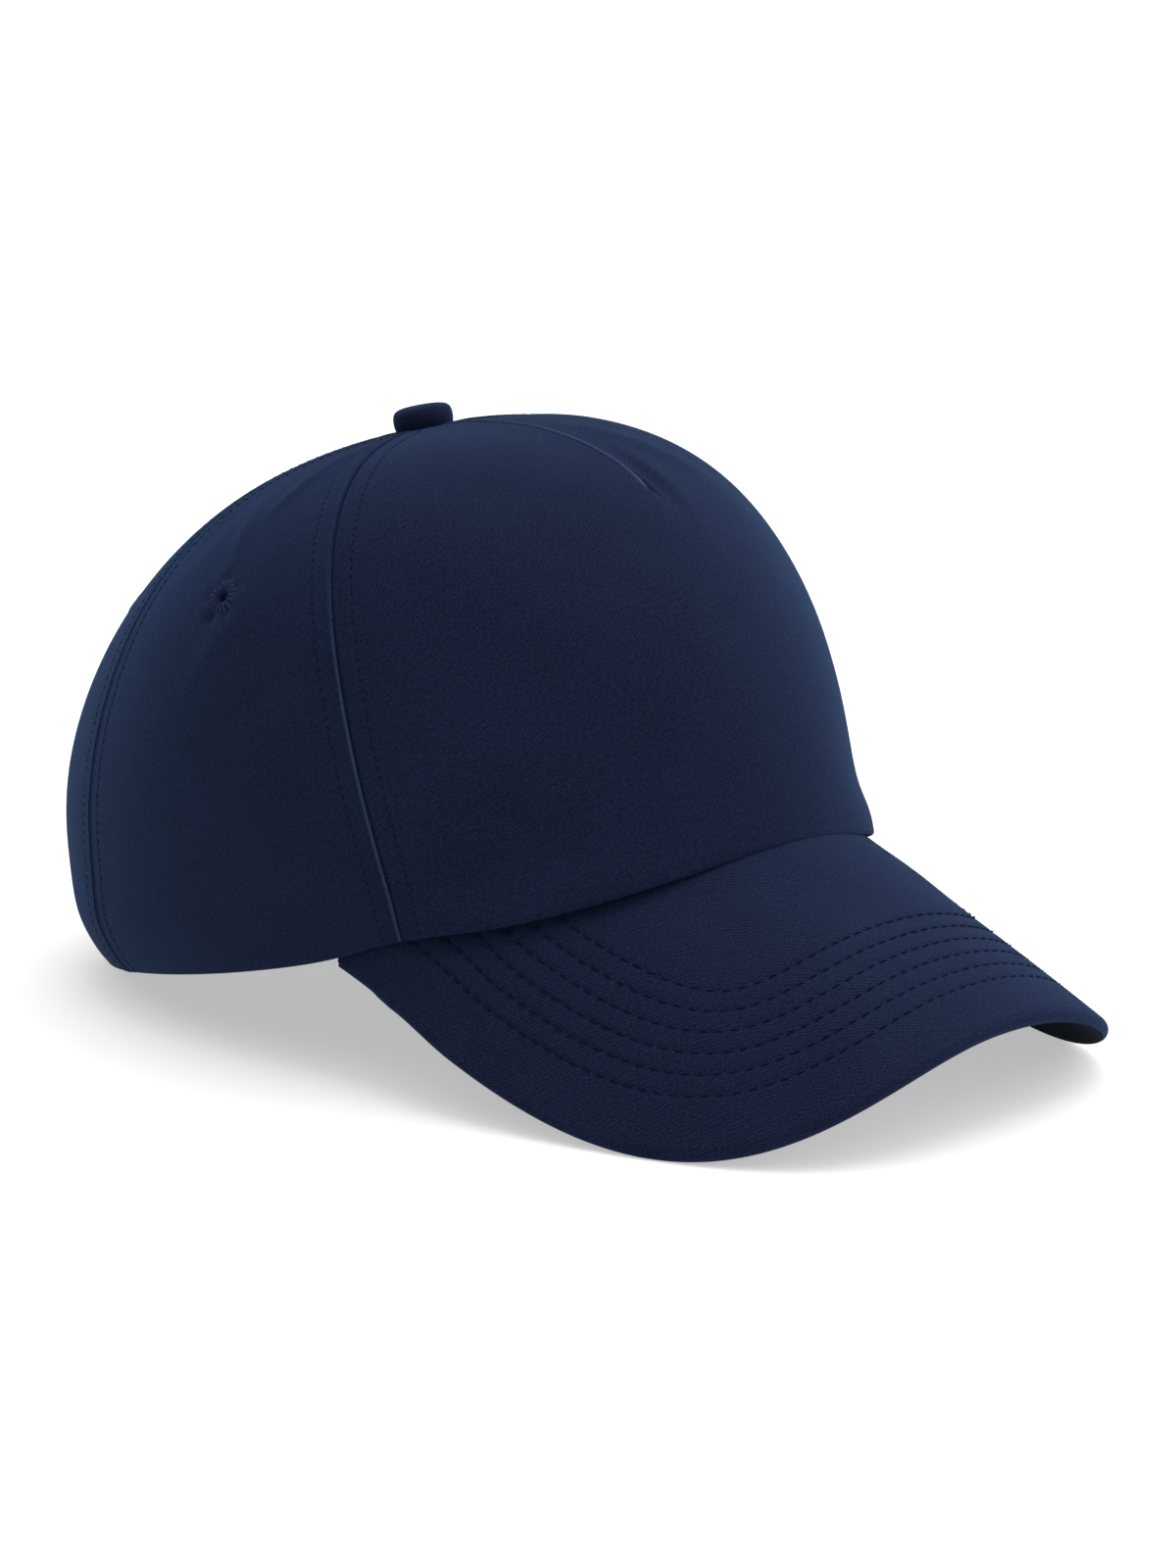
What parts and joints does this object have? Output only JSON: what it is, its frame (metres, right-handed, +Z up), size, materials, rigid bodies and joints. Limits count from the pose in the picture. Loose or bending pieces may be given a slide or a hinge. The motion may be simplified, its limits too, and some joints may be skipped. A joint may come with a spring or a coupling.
{
  "type": "baseball cap",
  "caption": "Structured baseball cap: domed fabric crown with a covered top button, curved stitched visor, padded sweatband and hook-and-loop rear strap.",
  "frame": {"origin": "on the surface that the cap rests on, under the middle of its outer box", "axes": "-Y is the way the wearer faces and the visor points, +X is the wearer's left, +Z is up"},
  "size_m": [0.1666, 0.281, 0.1453],
  "materials": {
    "navy_twill": "matte cotton twill, fine diagonal rib",
    "under_twill": "matte cotton twill",
    "navy_tape": "plain woven binding tape",
    "navy_thread": "slightly glossy polyester thread",
    "band_twill": "brushed twill band",
    "mesh_backing": "stiff open buckram",
    "pale_foam": "soft thin foam padding",
    "white_satin": "blank woven satin",
    "loop_pile": "short loop pile",
    "hook_nylon": "moulded nylon hooks",
    "visor_board": "stiff plastic board",
    "steel": "pressed metal"
  },
  "bodies": {
    "cap_body": {"front_panel": "navy_twill", "left_side_panel": "navy_twill", "right_side_panel": "navy_twill", "left_back_panel": "navy_twill", "right_back_panel": "navy_twill", "front_buckram": "mesh_backing", "dart_tape": "navy_tape", "left_front_seam_tape": "navy_tape", "right_front_seam_tape": "navy_tape", "left_rear_seam_tape": "navy_tape", "right_rear_seam_tape": "navy_tape", "centre_back_seam_tape": "navy_tape", "left_side_eyelet": "navy_thread", "right_side_eyelet": "navy_thread", "left_back_eyelet": "navy_thread", "right_back_eyelet": "navy_thread", "button_cover": "navy_twill", "button_shell": "steel", "button_rivet": "steel", "button_washer": "steel", "visor_top_cover": "navy_twill", "visor_board": "visor_board", "visor_under_cover": "under_twill", "sweatband": "band_twill", "sweatband_foam": "pale_foam", "arch_binding": "navy_tape", "over_strap_root": "navy_twill", "under_strap_root": "navy_twill"},
    "over_strap_end": {"over_strap": "navy_twill", "loop_tape": "loop_pile"},
    "under_strap_end": {"under_strap": "navy_twill", "hook_tape": "hook_nylon"},
    "label_flap": {"size_label": "white_satin"}
  },
  "joints": [
    {"name": "over_strap_peel", "type": "hinge", "parent": "cap_body", "child": "over_strap_end", "pos_m": [0.03199, 0.12198, 0.01112], "axis": [0.0033, -0.4807, -0.8769], "range_deg": [0, 75]},
    {"name": "under_strap_swing", "type": "hinge", "parent": "cap_body", "child": "under_strap_end", "pos_m": [-0.03199, 0.12198, 0.01112], "axis": [-0.0033, -0.4807, -0.8769], "range_deg": [0, 30]},
    {"name": "label_flip", "type": "hinge", "parent": "cap_body", "child": "label_flap", "pos_m": [0.07876, 0.03699, 0.05321], "axis": [0.0235, -0.9667, 0.255], "range_deg": [0, 80]}
  ]
}
